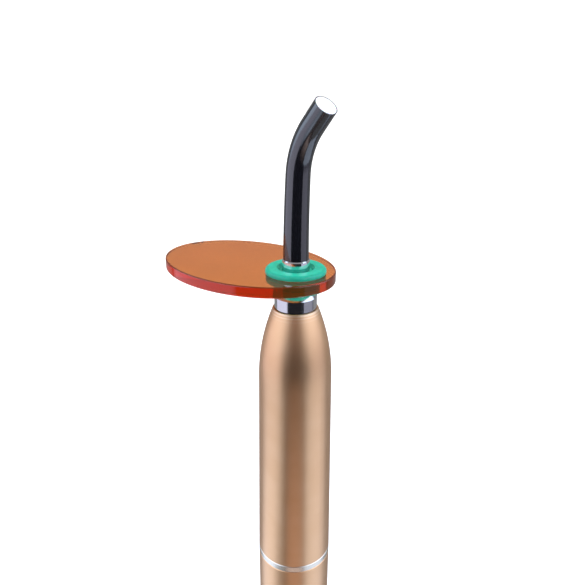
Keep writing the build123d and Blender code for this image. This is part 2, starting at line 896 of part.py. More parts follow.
with BuildPart() as guide_jacket:
    add(full_rod)
    add(clear_rod, mode=Mode.SUBTRACT)
guide_jacket.part.label = "guide_jacket"
export_step(guide_jacket.part, "parts/guide_jacket.step")

ferrule_chamfer = 0.3
groove_low = oring_station - oring_groove_width / 2
groove_high = oring_station + oring_groove_width / 2
with BuildPart() as guide_ferrule:
    with BuildSketch(Plane.XZ):
        with BuildLine():
            Polyline(
                (rod_radius, ferrule_foot),
                (ferrule_plug, ferrule_foot),
                (ferrule_plug, groove_low),
                (oring_groove, groove_low),
                (oring_groove, groove_high),
                (ferrule_plug, groove_high),
                (ferrule_plug, ferrule_step),
                (ferrule_flange, ferrule_step),
                (ferrule_flange, ferrule_flange_top),
                (ferrule_radius, ferrule_flange_top),
                (ferrule_radius, ferrule_top - ferrule_chamfer),
                (ferrule_radius - ferrule_chamfer, ferrule_top),
                (rod_radius, ferrule_top),
                close=True,
            )
        make_face()
    revolve(axis=Axis.Z)
guide_ferrule.part.label = "guide_ferrule"
export_step(guide_ferrule.part, "parts/guide_ferrule.step")

with BuildPart() as ferrule_oring:
    with BuildSketch(Plane.XZ):
        with Locations((oring_groove + oring_gap + oring_section, oring_station)):
            Circle(oring_section)
    revolve(axis=Axis.Z)
ferrule_oring.part.label = "ferrule_oring"
export_step(ferrule_oring.part, "parts/ferrule_oring.step")

# ---- Grommet and eye shield -----------------------------------------------------------
crest_round = 1.05
lip_round = 0.35
dish_round = 0.8
low_round = 0.5
dish_floor_radius = 5.0
with BuildPart() as shield_grommet:
    with BuildSketch(Plane.XZ) as grommet_profile:
        with BuildLine():
            Polyline(
                (grommet_bore, grommet_foot),
                (grommet_low_radius, grommet_foot),
                (grommet_low_radius, grommet_low_top),
                (grommet_groove, grommet_low_top),
                (grommet_groove, grommet_high_foot),
                (grommet_high_radius, grommet_high_foot),
                (grommet_high_radius, grommet_top),
                (grommet_dish_radius, grommet_top),
                (dish_floor_radius, grommet_dish_floor),
                (grommet_bore, grommet_dish_floor),
                close=True,
            )
        make_face()
        corners = grommet_profile.vertices()
        fillet(corners.sort_by_distance((grommet_high_radius, grommet_top))[0], crest_round)
        fillet(corners.sort_by_distance((grommet_dish_radius, grommet_top))[0], dish_round)
        fillet(corners.sort_by_distance((grommet_high_radius, grommet_high_foot))[0], lip_round)
        fillet(corners.sort_by_distance((grommet_low_radius, grommet_foot))[0], low_round)
        fillet(corners.sort_by_distance((grommet_low_radius, grommet_low_top))[0], lip_round)
    revolve(axis=Axis.Z)
shield_grommet.part.label = "shield_grommet"
export_step(shield_grommet.part, "parts/shield_grommet.step")

# The oval's long axis passes through the guide and is turned a little from the bend plane.
shield_angle = 180 + shield_turn
shield_x = shield_offset * cos(radians(shield_angle))
shield_y = shield_offset * sin(radians(shield_angle))
shield_edge = 0.4
with BuildPart() as eye_shield:
    with BuildSketch(Plane.XY.offset(shield_floor)):
        with Locations((shield_x, shield_y)):
            Ellipse(shield_long, shield_short, rotation=shield_angle)
    extrude(amount=shield_thickness)
    fillet(edges().filter_by(GeomType.ELLIPSE), shield_edge)
    with BuildSketch(Plane.XY.offset(shield_floor)):
        Circle(grommet_groove + running_gap)
    extrude(amount=shield_thickness, mode=Mode.SUBTRACT)
eye_shield.part.label = "eye_shield"
export_step(eye_shield.part, "parts/eye_shield.step")
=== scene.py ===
import math

import bmesh
import bpy
from mathutils import Matrix, Vector


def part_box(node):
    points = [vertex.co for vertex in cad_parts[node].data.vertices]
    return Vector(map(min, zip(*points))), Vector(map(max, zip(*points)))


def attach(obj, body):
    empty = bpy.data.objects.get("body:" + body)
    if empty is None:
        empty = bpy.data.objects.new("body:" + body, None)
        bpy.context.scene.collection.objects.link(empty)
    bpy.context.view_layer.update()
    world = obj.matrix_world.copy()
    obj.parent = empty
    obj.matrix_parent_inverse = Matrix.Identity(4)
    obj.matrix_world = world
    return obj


# Looks of a cordless dental curing light: a satin gold handle, a polished steel collar, a
# curved black light guide and an orange eye shield in a green silicone grommet.
# Metres, on the CAD frame's axes: Z runs up the handle and the control panel faces -X.

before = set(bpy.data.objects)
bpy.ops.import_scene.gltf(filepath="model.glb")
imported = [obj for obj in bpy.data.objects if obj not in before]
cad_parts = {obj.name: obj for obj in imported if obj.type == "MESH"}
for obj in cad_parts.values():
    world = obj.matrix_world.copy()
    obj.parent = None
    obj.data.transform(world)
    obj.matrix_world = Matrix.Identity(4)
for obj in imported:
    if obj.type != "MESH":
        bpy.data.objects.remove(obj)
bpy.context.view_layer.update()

MM = 0.001

# ---- Camera ---------------------------------------------------------------------------
CAMERA_PLACE = Vector((0.12566, -0.11914, 0.24275))
CAMERA_HEADING = 46.857
CAMERA_DIP = 21.46
CAMERA_ROLL = 0.26
CAMERA_LENS = 36.355
CAMERA_SENSOR = 36.0


def make_camera():
    """The camera stands close to the object, a little above it, and looks down at it."""
    lens = bpy.data.cameras.new("camera")
    lens.lens = CAMERA_LENS
    lens.sensor_width = CAMERA_SENSOR
    lens.clip_start = 0.005
    lens.clip_end = 20
    camera = bpy.data.objects.new("camera", lens)
    heading = Matrix.Rotation(math.radians(CAMERA_HEADING), 4, "Z")
    dip = Matrix.Rotation(math.radians(90 - CAMERA_DIP), 4, "X")
    roll = Matrix.Rotation(math.radians(CAMERA_ROLL), 4, "Z")
    camera.matrix_world = Matrix.Translation(CAMERA_PLACE) @ heading @ dip @ roll
    bpy.context.scene.collection.objects.link(camera)
    bpy.context.scene.camera = camera


make_camera()


# ---- Node helpers ---------------------------------------------------------------------
def add_node(tree, kind, **settings):
    """A new node with some of its settings changed."""
    node = tree.nodes.new(kind)
    for setting, value in settings.items():
        setattr(node, setting, value)
    return node


def feed(tree, socket, value):
    """Links an output to a socket, or sets the socket to a plain value."""
    if isinstance(value, bpy.types.NodeSocket):
        tree.links.new(value, socket)
    else:
        socket.default_value = value


def calculate(tree, operation, first, second=0.0):
    """The result of a sum on two numbers."""
    node = add_node(tree, "ShaderNodeMath", operation=operation)
    feed(tree, node.inputs[0], first)
    feed(tree, node.inputs[1], second)
    return node.outputs[0]


def remap(tree, value, low, high, to_low, to_high, smooth=False):
    """value's stretch from low to high, carried over to the stretch from to_low to to_high."""
    node = add_node(tree, "ShaderNodeMapRange")
    if smooth:
        node.interpolation_type = "SMOOTHSTEP"
    feed(tree, node.inputs["Value"], value)
    feed(tree, node.inputs["From Min"], low)
    feed(tree, node.inputs["From Max"], high)
    feed(tree, node.inputs["To Min"], to_low)
    feed(tree, node.inputs["To Max"], to_high)
    return node.outputs[0]


def mix_colours(tree, share, first, second):
    """A colour that runs from first to second as share runs from 0 to 1."""
    node = add_node(tree, "ShaderNodeMix", data_type="RGBA")
    feed(tree, node.inputs["Factor"], share)
    feed(tree, node.inputs[6], first if isinstance(first, bpy.types.NodeSocket) else (*first, 1))
    feed(tree, node.inputs[7], second if isinstance(second, bpy.types.NodeSocket) else (*second, 1))
    return node.outputs[2]


def own_place(tree):
    """The point's place on the object, in metres on the CAD frame's axes."""
    return add_node(tree, "ShaderNodeTexCoord").outputs["Object"]


def own_axes(tree):
    """The point's x, y and z on the object."""
    split = add_node(tree, "ShaderNodeSeparateXYZ")
    tree.links.new(own_place(tree), split.inputs[0])
    return split.outputs


def grain(tree, size, detail=2.0, place=None):
    """Noise with patches about size millimetres across."""
    node = add_node(tree, "ShaderNodeTexNoise")
    tree.links.new(place or own_place(tree), node.inputs["Vector"])
    node.inputs["Scale"].default_value = 1 / (size * MM)
    node.inputs["Detail"].default_value = detail
    return node.outputs[0]


def off_axis(tree, first, second):
    """Distance from an axis, given the two coordinates that run across it."""
    squares = calculate(
        tree,
        "ADD",
        calculate(tree, "MULTIPLY", first, first),
        calculate(tree, "MULTIPLY", second, second),
    )
    return calculate(tree, "SQRT", squares)


def lathe_lines(tree, along, across, pitch):
    """Irregular lines left by a turning tool: rings on the sides and on the end faces."""
    node = add_node(tree, "ShaderNodeTexNoise", noise_dimensions="1D")
    tree.links.new(calculate(tree, "ADD", along, across), node.inputs["W"])
    node.inputs["Scale"].default_value = 1 / (pitch * MM)
    node.inputs["Detail"].default_value = 3.0
    return node.outputs[0]


def start_material(name):
    """A new material with its node tree and its shader."""
    material = bpy.data.materials.new(name)
    material.use_nodes = True
    return material, material.node_tree, material.node_tree.nodes["Principled BSDF"]


def set_shader(shader, **sockets):
    """Plain values on the shader's own sockets. Underscores stand for spaces."""
    for socket, value in sockets.items():
        shader.inputs[socket.replace("_", " ")].default_value = value


def raise_surface(tree, shader, height, depth):
    """Bumps from a height between 0 and 1 that stands for depth millimetres."""
    node = add_node(tree, "ShaderNodeBump")
    node.inputs["Strength"].default_value = 1.0
    node.inputs["Distance"].default_value = depth * MM
    tree.links.new(height, node.inputs["Height"])
    tree.links.new(node.outputs[0], shader.inputs["Normal"])


def patches(tree, size, low, high, detail=2.0):
    """A value that drifts from low to high in patches about size millimetres across."""
    return remap(tree, grain(tree, size, detail), 0.35, 0.65, low, high)


def scatter(tree, marks, low, high):
    """A value that follows fine marks, from low where they are faint to high."""
    return remap(tree, marks, 0.3, 0.7, low, high)


def tooled_gloss(tree, shader, marks, roughness):
    """Roughness that follows the marks of a tool."""
    gloss = scatter(tree, marks, roughness * 0.75, roughness * 1.3)
    tree.links.new(gloss, shader.inputs["Roughness"])


# ---- Material families ----------------------------------------------------------------
def moulded(name, colour, shade, roughness, texture=0.25, depth=0.004, **sockets):
    """Plastic, rubber or ceramic: a faint drift in colour and gloss over a fine texture."""
    material, tree, shader = start_material(name)
    drift = patches(tree, 4.0, 0, 1)
    tree.links.new(mix_colours(tree, drift, colour, shade), shader.inputs["Base Color"])
    gloss = scatter(tree, grain(tree, 1.3, detail=4.0), roughness * 0.8, roughness * 1.2)
    tree.links.new(gloss, shader.inputs["Roughness"])
    raise_surface(tree, shader, grain(tree, texture), depth)
    set_shader(shader, **sockets)
    return material


def turned_metal(name, colour, shade, roughness, pitch=0.18, depth=0.002):
    """Metal from a lathe: fine rings round the handle's axis and a slight drift in colour."""
    material, tree, shader = start_material(name)
    x, y, z = own_axes(tree)
    lines = lathe_lines(tree, z, off_axis(tree, x, y), pitch)
    drift = patches(tree, 5.0, 0, 1)
    tree.links.new(mix_colours(tree, drift, colour, shade), shader.inputs["Base Color"])
    tooled_gloss(tree, shader, lines, roughness)
    raise_surface(tree, shader, lines, depth)
    set_shader(shader, Metallic=1.0)
    return material


def drawn_metal(name, colour, shade, roughness, stretch=25.0):
    """Pressed or drawn metal: fine streaks along the handle's axis, stretch times their width."""
    material, tree, shader = start_material(name)
    mapping = add_node(tree, "ShaderNodeMapping")
    tree.links.new(own_place(tree), mapping.inputs["Vector"])
    mapping.inputs["Scale"].default_value = (1.0, 1.0, 1 / stretch)
    streaks = grain(tree, 0.15, detail=3.0, place=mapping.outputs[0])
    tree.links.new(mix_colours(tree, streaks, colour, shade), shader.inputs["Base Color"])
    tooled_gloss(tree, shader, streaks, roughness)
    raise_surface(tree, shader, streaks, 0.003)
    set_shader(shader, Metallic=1.0)
    return material


# ---- Materials of the parts that show -------------------------------------------------
# Heights in metres. The turning lines grow up the shoulder, the gold is rubbed just under the
# rim, and the painted shade of the seam on the collar fades out just above it.
SHOULDER_LINES_FOOT = 0.150
SHOULDER_LINES_TOP = 0.168
HOUSING_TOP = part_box("upper_housing")[1][2]
RUBBED_FOOT = HOUSING_TOP - 3.0 * MM
RUBBED_TOP = HOUSING_TOP - 0.8 * MM
SEAM_SHADE_FOOT = HOUSING_TOP + 0.10 * MM
SEAM_SHADE_TOP = HOUSING_TOP + 0.35 * MM
# The turning lines: pitch in millimetres, height against the blasted grain, added roughness,
# and how much bare metal shows in them where they are rubbed
SHOULDER_PITCH = 0.45
SHOULDER_RIDGE = 3.0
SHOULDER_DULLING = 0.10
RUBBED_SHARE = 0.6


def gold_anodising():
    """Fine-blasted champagne gold, with the turning lines still faint near the top rim."""
    material, tree, shader = start_material("gold_anodised")
    x, y, z = own_axes(tree)
    drift = patches(tree, 9.0, 0, 1)
    gold = mix_colours(tree, drift, (0.85, 0.515, 0.285), (0.82, 0.485, 0.26))
    lines = lathe_lines(tree, z, off_axis(tree, x, y), SHOULDER_PITCH)
    rubbed = remap(tree, z, RUBBED_FOOT, RUBBED_TOP, 0, RUBBED_SHARE, smooth=True)
    bare = calculate(tree, "MULTIPLY", remap(tree, lines, 0.42, 0.62, 0, 1), rubbed)
    worn = mix_colours(tree, bare, gold, (0.98, 0.74, 0.52))
    tree.links.new(worn, shader.inputs["Base Color"])
    blast = grain(tree, 0.12, detail=3.0)
    gloss = scatter(tree, blast, 0.34, 0.42)
    near_rim = remap(tree, z, SHOULDER_LINES_FOOT, SHOULDER_LINES_TOP, 0.1, 1.0, smooth=True)
    dulling = calculate(tree, "MULTIPLY", near_rim, SHOULDER_DULLING)
    tree.links.new(calculate(tree, "ADD", gloss, dulling), shader.inputs["Roughness"])
    growth = calculate(tree, "MULTIPLY", near_rim, SHOULDER_RIDGE)
    ridges = calculate(tree, "MULTIPLY", lines, growth)
    raise_surface(tree, shader, calculate(tree, "ADD", blast, ridges), 0.004)
    set_shader(shader, Metallic=1.0, Coat_Weight=0.25, Coat_Roughness=0.35)
    return material


# The middle of the light guide's end face and the way that the face looks
TIP_MIDDLE = Vector((11.3456, 0, 231.6026)) * MM
TIP_HEADING = Vector((0.656059, 0, 0.75471))


def beyond_tip(tree):
    """How far a point lies beyond the plane of the guide's end face."""
    offset = add_node(tree, "ShaderNodeVectorMath", operation="SUBTRACT")
    tree.links.new(own_place(tree), offset.inputs[0])
    offset.inputs[1].default_value = TIP_MIDDLE
    along = add_node(tree, "ShaderNodeVectorMath", operation="DOT_PRODUCT")
    tree.links.new(offset.outputs[0], along.inputs[0])
    along.inputs[1].default_value = TIP_HEADING
    return along.outputs["Value"]


def polished_collar():
    """Bright turned steel, with a painted dark line of shade at the seam where it meets the gold
    rim.
    """
    material = turned_metal(
        "collar_steel", (0.70, 0.70, 0.71), (0.66, 0.66, 0.67), 0.12, depth=0.0008
    )
    tree = material.node_tree
    shader = tree.nodes["Principled BSDF"]
    steel = shader.inputs["Base Color"].links[0].from_socket
    height = own_axes(tree)[2]
    # Painted shade: the steel turns near black in a thin band just above the seam with the gold rim
    seam_shade = remap(tree, height, SEAM_SHADE_FOOT, SEAM_SHADE_TOP, 1, 0, smooth=True)
    seam_shaded_steel = mix_colours(tree, seam_shade, steel, (0.03, 0.02, 0.015))
    tree.links.new(seam_shaded_steel, shader.inputs["Base Color"])
    return material


def black_glass():
    """Fire-polished black glass, with a ground grey ring round the end face."""
    material, tree, shader = start_material("black_glass")
    ground = remap(tree, beyond_tip(tree), -0.06 * MM, -0.02 * MM, 0, 1)
    tree.links.new(
        mix_colours(tree, ground, (0.004, 0.004, 0.006), (0.05, 0.05, 0.055)),
        shader.inputs["Base Color"],
    )
    smear = scatter(tree, grain(tree, 6.0, detail=5.0), 0.09, 0.14)
    gloss = calculate(tree, "ADD", smear, calculate(tree, "MULTIPLY", ground, 0.35))
    tree.links.new(gloss, shader.inputs["Roughness"])
    raise_surface(tree, shader, grain(tree, 2.5), 0.003)
    set_shader(shader, IOR=1.95)
    return material


def fibre_bundle(fibre=0.11):
    """The guide's white end face: fused fibres of a size in millimetres, darker between them."""
    material, tree, shader = start_material("fibre_glass")
    cells = add_node(tree, "ShaderNodeTexVoronoi", feature="DISTANCE_TO_EDGE")
    tree.links.new(own_place(tree), cells.inputs["Vector"])
    cells.inputs["Scale"].default_value = 1 / (fibre * MM)
    cells.inputs["Randomness"].default_value = 0.35
    inside = remap(tree, cells.outputs["Distance"], 0.0, 0.12, 0, 1)
    tree.links.new(
        mix_colours(tree, inside, (0.80, 0.81, 0.83), (0.97, 0.97, 0.98)),
        shader.inputs["Base Color"],
    )
    tree.links.new(remap(tree, inside, 0, 1, 0.35, 0.18), shader.inputs["Roughness"])
    raise_surface(tree, shader, inside, 0.002)
    set_shader(shader, Subsurface_Weight=0.2, Subsurface_Scale=0.5 * MM)
    # Painted glow: the end face gives off a faint white light of its own, which brightens it
    set_shader(shader, Emission_Color=(1, 1, 1, 1), Emission_Strength=0.22)
    return material


def green_silicone():
    """Soft satin silicone: light passes a little way in, and handling leaves dull patches."""
    material, tree, shader = start_material("green_silicone")
    drift = patches(tree, 3.0, 0, 1, detail=4.0)
    tree.links.new(
        mix_colours(tree, drift, (0.016, 0.56, 0.36), (0.014, 0.48, 0.30)),
        shader.inputs["Base Color"],
    )
    tree.links.new(patches(tree, 0.9, 0.32, 0.46, detail=5.0), shader.inputs["Roughness"])
    raise_surface(tree, shader, grain(tree, 0.18, detail=3.0), 0.006)
    set_shader(shader, Subsurface_Weight=0.3, Subsurface_Scale=0.8 * MM, IOR=1.43)
    return material


def orange_acrylic():
    """Clear polished acrylic that absorbs blue and green light but lets red run to its edge."""
    material, tree, shader = start_material("orange_filter")
    tree.links.new(patches(tree, 7.0, 0.02, 0.07, detail=5.0), shader.inputs["Roughness"])
    haze = patches(tree, 12.0, 0, 1, detail=3.0)
    tint = mix_colours(tree, haze, (0.39, 0.365, 0.34), (0.415, 0.39, 0.36))
    tree.links.new(tint, shader.inputs["Base Color"])
    raise_surface(tree, shader, grain(tree, 9.0), 0.006)
    set_shader(shader, Transmission_Weight=1.0, IOR=1.49)
    # Painted glow: a faint orange light of its own, which brightens the shield's face and edges
    set_shader(shader, Emission_Color=(0.7, 0.45, 0.1, 1), Emission_Strength=0.05)
    absorb = add_node(tree, "ShaderNodeVolumeAbsorption")
    absorb.inputs["Color"].default_value = (0.992, 0.62, 0.0, 1)
    absorb.inputs["Density"].default_value = 700
    output = tree.nodes["Material Output"]
    tree.links.new(absorb.outputs[0], output.inputs["Volume"])
    return material


def smoked_window():
    """Smoked clear acrylic over the display."""
    material, tree, shader = start_material("window_smoke")
    tree.links.new(patches(tree, 3.0, 0.02, 0.08, detail=5.0), shader.inputs["Roughness"])
    tint = patches(tree, 2.0, 0, 1)
    smoke = mix_colours(tree, tint, (0.30, 0.31, 0.33), (0.26, 0.27, 0.29))
    tree.links.new(smoke, shader.inputs["Base Color"])
    set_shader(shader, Transmission_Weight=1.0, IOR=1.49)
    return material


def spun_button(name, key, colour, shade, metallic, roughness, pitch=0.16):
    """A button cap with fine rings round its own middle."""
    material, tree, shader = start_material(name)
    x, y, z = own_axes(tree)
    low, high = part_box(f"{key}_button")
    height = calculate(tree, "SUBTRACT", z, (low[2] + high[2]) / 2)
    rings = lathe_lines(tree, x, off_axis(tree, y, height), pitch)
    tree.links.new(mix_colours(tree, rings, colour, shade), shader.inputs["Base Color"])
    tooled_gloss(tree, shader, rings, roughness)
    raise_surface(tree, shader, rings, 0.003)
    set_shader(shader, Metallic=metallic)
    return material


def circuit_board(name, laminate, copper, pitch=1.1):
    """Solder mask over tracks that run across and up the board, pitch millimetres apart."""
    material, tree, shader = start_material(name)
    x, y, z = own_axes(tree)
    wander = calculate(tree, "MULTIPLY", grain(tree, 6.0, detail=0.0), 6 * MM)
    across = calculate(tree, "ADD", calculate(tree, "ADD", x, y), wander)
    upward = calculate(tree, "ADD", z, wander)
    tracks = None
    for run in (across, upward):
        turns = calculate(tree, "MULTIPLY", run, math.tau / (pitch * MM))
        line = remap(tree, calculate(tree, "SINE", turns), 0.55, 0.70, 0, 1)
        tracks = line if tracks is None else calculate(tree, "MULTIPLY", tracks, line)
    tree.links.new(mix_colours(tree, tracks, laminate, copper), shader.inputs["Base Color"])
    tree.links.new(scatter(tree, grain(tree, 1.0), 0.25, 0.40), shader.inputs["Roughness"])
    raise_surface(tree, shader, tracks, 0.03)
    return material


# The plain bands printed on the cell's sleeve
BAND_SPACING = 32 * MM
BAND_WIDTH = 4 * MM


def printed_sleeve():
    """A shrink sleeve round the cell, with plain bands and a faint ripple."""
    material, tree, shader = start_material("cell_wrap")
    height = own_axes(tree)[2]
    repeat = calculate(tree, "PINGPONG", height, BAND_SPACING / 2)
    band = remap(tree, repeat, BAND_WIDTH / 2, BAND_WIDTH / 2 + 0.1 * MM, 0, 1)
    tree.links.new(
        mix_colours(tree, band, (0.72, 0.74, 0.76), (0.05, 0.16, 0.42)),
        shader.inputs["Base Color"],
    )
    tree.links.new(scatter(tree, grain(tree, 2.0), 0.2, 0.35), shader.inputs["Roughness"])
    raise_surface(tree, shader, grain(tree, 3.0), 0.05)
    return material


def clear_part(name, colour):
    """Clear lens material with a faintly uneven polish."""
    material, tree, shader = start_material(name)
    tree.links.new(patches(tree, 2.0, 0.01, 0.05, detail=4.0), shader.inputs["Roughness"])
    tint = mix_colours(tree, grain(tree, 3.0), colour, (1, 1, 1))
    tree.links.new(tint, shader.inputs["Base Color"])
    set_shader(shader, Transmission_Weight=1.0, IOR=1.5)
    return material


# Every material with the pieces that it covers
NODE_MATERIALS = (
    (gold_anodising(), ["upper_housing", "battery_sleeve", "tail_cap"]),
    (turned_metal("ring_silver", (0.83, 0.75, 0.65), (0.79, 0.72, 0.62), 0.30), ["joint_ring"]),
    (polished_collar(), ["head_collar"]),
    (
        turned_metal("ferrule_steel", (0.80, 0.81, 0.83), (0.76, 0.77, 0.80), 0.10, depth=0.0008),
        ["guide_ferrule"],
    ),
    (black_glass(), ["guide_jacket"]),
    (fibre_bundle(), ["guide_core"]),
    (green_silicone(), ["shield_grommet"]),
    (orange_acrylic(), ["eye_shield"]),
    (smoked_window(), ["display_window"]),
    (
        moulded("panel_black", (0.012, 0.012, 0.014), (0.018, 0.018, 0.020), 0.12, depth=0.001,
                Coat_Weight=0.5, Coat_Roughness=0.05),
        ["panel_bezel"],
    ),
    (
        moulded("display_glass", (0.010, 0.014, 0.013), (0.016, 0.020, 0.019), 0.20),
        ["display_module"],
    ),
    (
        moulded("switch_grey", (0.14, 0.14, 0.15), (0.11, 0.11, 0.12), 0.45),
        ["power_switch", "mode_switch", "time_switch"],
    ),
    (
        moulded("chip_black", (0.02, 0.02, 0.02), (0.03, 0.03, 0.03), 0.5),
        ["microcontroller", "buzzer"],
    ),
    (moulded("coil_dark", (0.05, 0.045, 0.04), (0.08, 0.07, 0.06), 0.6), ["inductor"]),
    (drawn_metal("can_silver", (0.75, 0.76, 0.78), (0.68, 0.69, 0.71), 0.3), ["capacitors"]),
    (moulded("carrier_grey", (0.09, 0.09, 0.10), (0.12, 0.12, 0.13), 0.55), ["board_carrier"]),
    (
        turned_metal("screw_steel", (0.58, 0.58, 0.60), (0.52, 0.52, 0.54), 0.35),
        ["carrier_screws", "board_screws"],
    ),
    (turned_metal("sink_aluminium", (0.78, 0.79, 0.80), (0.72, 0.73, 0.75), 0.35), ["heat_sink"]),
    (moulded("pad_white", (0.72, 0.72, 0.70), (0.66, 0.66, 0.64), 0.8), ["thermal_pad"]),
    (moulded("led_ceramic", (0.82, 0.80, 0.70), (0.86, 0.85, 0.80), 0.5), ["led_package"]),
    (clear_part("led_lens", (0.90, 0.92, 1.0)), ["led_dome"]),
    (clear_part("lens_glass", (0.94, 0.97, 0.98)), ["collimator_lens"]),
    (
        turned_metal("reflector", (0.90, 0.91, 0.92), (0.86, 0.87, 0.88), 0.06, depth=0.0005),
        ["reflector_cup"],
    ),
    (
        moulded("seal_black", (0.014, 0.014, 0.014), (0.02, 0.02, 0.02), 0.5),
        ["ferrule_oring", "coupling_seal"],
    ),
    (
        moulded("wire_red", (0.42, 0.02, 0.015), (0.35, 0.015, 0.012), 0.4),
        ["led_lead_red", "battery_lead_red"],
    ),
    (
        moulded("wire_black", (0.015, 0.015, 0.015), (0.025, 0.025, 0.025), 0.4),
        ["led_lead_black", "battery_lead_black"],
    ),
    (
        turned_metal("contact_brass", (0.86, 0.62, 0.26), (0.78, 0.54, 0.22), 0.25),
        ["charge_ring", "charge_pin", "positive_contact", "return_contact"],
    ),
    (moulded("plate_white", (0.70, 0.70, 0.67), (0.64, 0.64, 0.61), 0.5), ["contact_plate"]),
    (
        turned_metal("coupling_metal", (0.76, 0.77, 0.79), (0.70, 0.71, 0.73), 0.28),
        ["coupling_sleeve", "lens_retainer"],
    ),
    (
        moulded("holder_black", (0.018, 0.018, 0.018), (0.027, 0.027, 0.028), 0.45),
        ["battery_holder", "contact_insulator"],
    ),
    (
        drawn_metal("cell_steel", (0.66, 0.66, 0.66), (0.58, 0.58, 0.59), 0.3),
        ["battery_cell", "battery_cap"],
    ),
    (printed_sleeve(), ["battery_wrap"]),
    (moulded("washer_card", (0.60, 0.55, 0.42), (0.52, 0.47, 0.36), 0.85), ["battery_washer"]),
    (drawn_metal("spring_steel", (0.62, 0.62, 0.63), (0.55, 0.55, 0.56), 0.25), ["battery_spring"]),
    (
        circuit_board("board_green", (0.008, 0.10, 0.04), (0.03, 0.20, 0.08)),
        ["main_board", "tail_board"],
    ),
    (circuit_board("led_board_white", (0.80, 0.80, 0.79), (0.70, 0.71, 0.72)), ["led_board"]),
    (
        spun_button("button_gold", "power", (0.82, 0.54, 0.34), (0.74, 0.46, 0.28), 1.0, 0.25),
        ["power_button"],
    ),
)
WHITE_CAPS = ("mode", "time")


def paint(piece, material):
    """Gives a piece of the CAD model its only material."""
    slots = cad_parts[piece].data.materials
    slots.clear()
    slots.append(material)


for material, members in NODE_MATERIALS:
    for member in members:
        paint(member, material)
for key in WHITE_CAPS:
    white = spun_button(f"{key}_cap_white", key, (0.74, 0.74, 0.72), (0.68, 0.68, 0.66), 0.0, 0.3)
    paint(f"{key}_button", white)


# ---- Display digits and button signs --------------------------------------------------
# Outlines are lists of (across, up) points in millimetres, as seen from the panel's side:
# across runs towards -Y, so that the signs read the right way round.
PRINT_DEPTH = 0.05
PRINT_SINK = 0.01


def turned_outline(corners, middle, angle):
    """Corner points turned by angle degrees and moved to middle."""
    along = Vector((math.cos(math.radians(angle)), math.sin(math.radians(angle))))
    across = Vector((-along.y, along.x))
    return [Vector(middle) + along * u + across * v for u, v in corners]


def bar(middle, length, width, angle=0.0):
    """Outline of a plain bar."""
    half, side = length / 2, width / 2
    corners = ((-half, -side), (half, -side), (half, side), (-half, side))
    return turned_outline(corners, middle, angle)


def segment(middle, length, width, angle=0.0):
    """Outline of one segment of a digit: a bar with pointed ends."""
    half, side = length / 2, width / 2
    corners = (
        (-half, 0),
        (side - half, -side),
        (half - side, -side),
        (half, 0),
        (half - side, side),
        (side - half, side),
    )
    return turned_outline(corners, middle, angle)


def arc_band(middle, radius, width, start, sweep, steps=40):
    """Outline of a broken ring that starts at start degrees and runs on for sweep degrees."""
    outline = []
    turns = [math.radians(start + sweep * step / steps) for step in range(steps + 1)]
    for reach, order in ((radius + width / 2, turns), (radius - width / 2, turns[::-1])):
        outline += [Vector(middle) + Vector((math.cos(t), math.sin(t))) * reach for t in order]
    return outline


def mesh_data(name, mesh):
    """The finished form of a mesh that was built up in memory."""
    data = bpy.data.meshes.new(name)
    mesh.to_mesh(data)
    mesh.free()
    return data


def raised_print(name, outlines, front, material, body):
    """Thin raised shapes on a face of the panel that lies at x = front, in metres."""
    mesh = bmesh.new()
    sunk_x, raised_x = front + PRINT_SINK * MM, front - PRINT_DEPTH * MM
    for outline in outlines:
        sunk = [mesh.verts.new((sunk_x, -point.x * MM, point.y * MM)) for point in outline]
        raised = [mesh.verts.new((raised_x, -point.x * MM, point.y * MM)) for point in outline]
        mesh.faces.new(sunk)
        mesh.faces.new(raised[::-1])
        for here, there in zip(range(-1, len(outline) - 1), range(len(outline))):
            mesh.faces.new((sunk[there], sunk[here], raised[here], raised[there]))
    bmesh.ops.recalc_face_normals(mesh, faces=mesh.faces)
    data = mesh_data(name, mesh)
    data.materials.append(material)
    piece = bpy.data.objects.new(name, data)
    bpy.context.scene.collection.objects.link(piece)
    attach(piece, body)


def lit_print(name, colour, level):
    """A lit display segment: it gives off its own light, a little unevenly."""
    material, tree, shader = start_material(name)
    uneven = scatter(tree, grain(tree, 0.6), level * 0.85, level)
    tree.links.new(uneven, shader.inputs["Emission Strength"])
    set_shader(shader, Base_Color=(*colour, 1), Emission_Color=(*colour, 1), Roughness=0.3)
    return material


# Sizes in millimetres: the digits' segments, then the row of marks under them
DIGIT_LENGTH = 1.75
DIGIT_WIDTH = 0.38
DIGIT_GAP = 0.06
DIGIT_PLACE = 1.45
DIGIT_RISE = 1.2
MARK_DROP = 2.7
MARK_PLACE = 2.2
MARK_LENGTH = 1.2
MARK_HEIGHT = 0.7
PULSE_WIDTH = 0.24
PULSE_GAP = 0.45
DISPLAY_RED = (0.95, 0.06, 0.03)
# The seven segments of a digit: (across, up, angle), in units of a segment's length
SEGMENTS = {
    "top": (0, 1, 0),
    "middle": (0, 0, 0),
    "bottom": (0, -1, 0),
    "left_high": (-0.5, 0.5, 90),
    "right_high": (0.5, 0.5, 90),
    "left_low": (-0.5, -0.5, 90),
    "right_low": (0.5, -0.5, 90),
}
TWO = ("top", "right_high", "middle", "left_low", "bottom")
ZERO = ("top", "right_high", "right_low", "bottom", "left_low", "left_high")


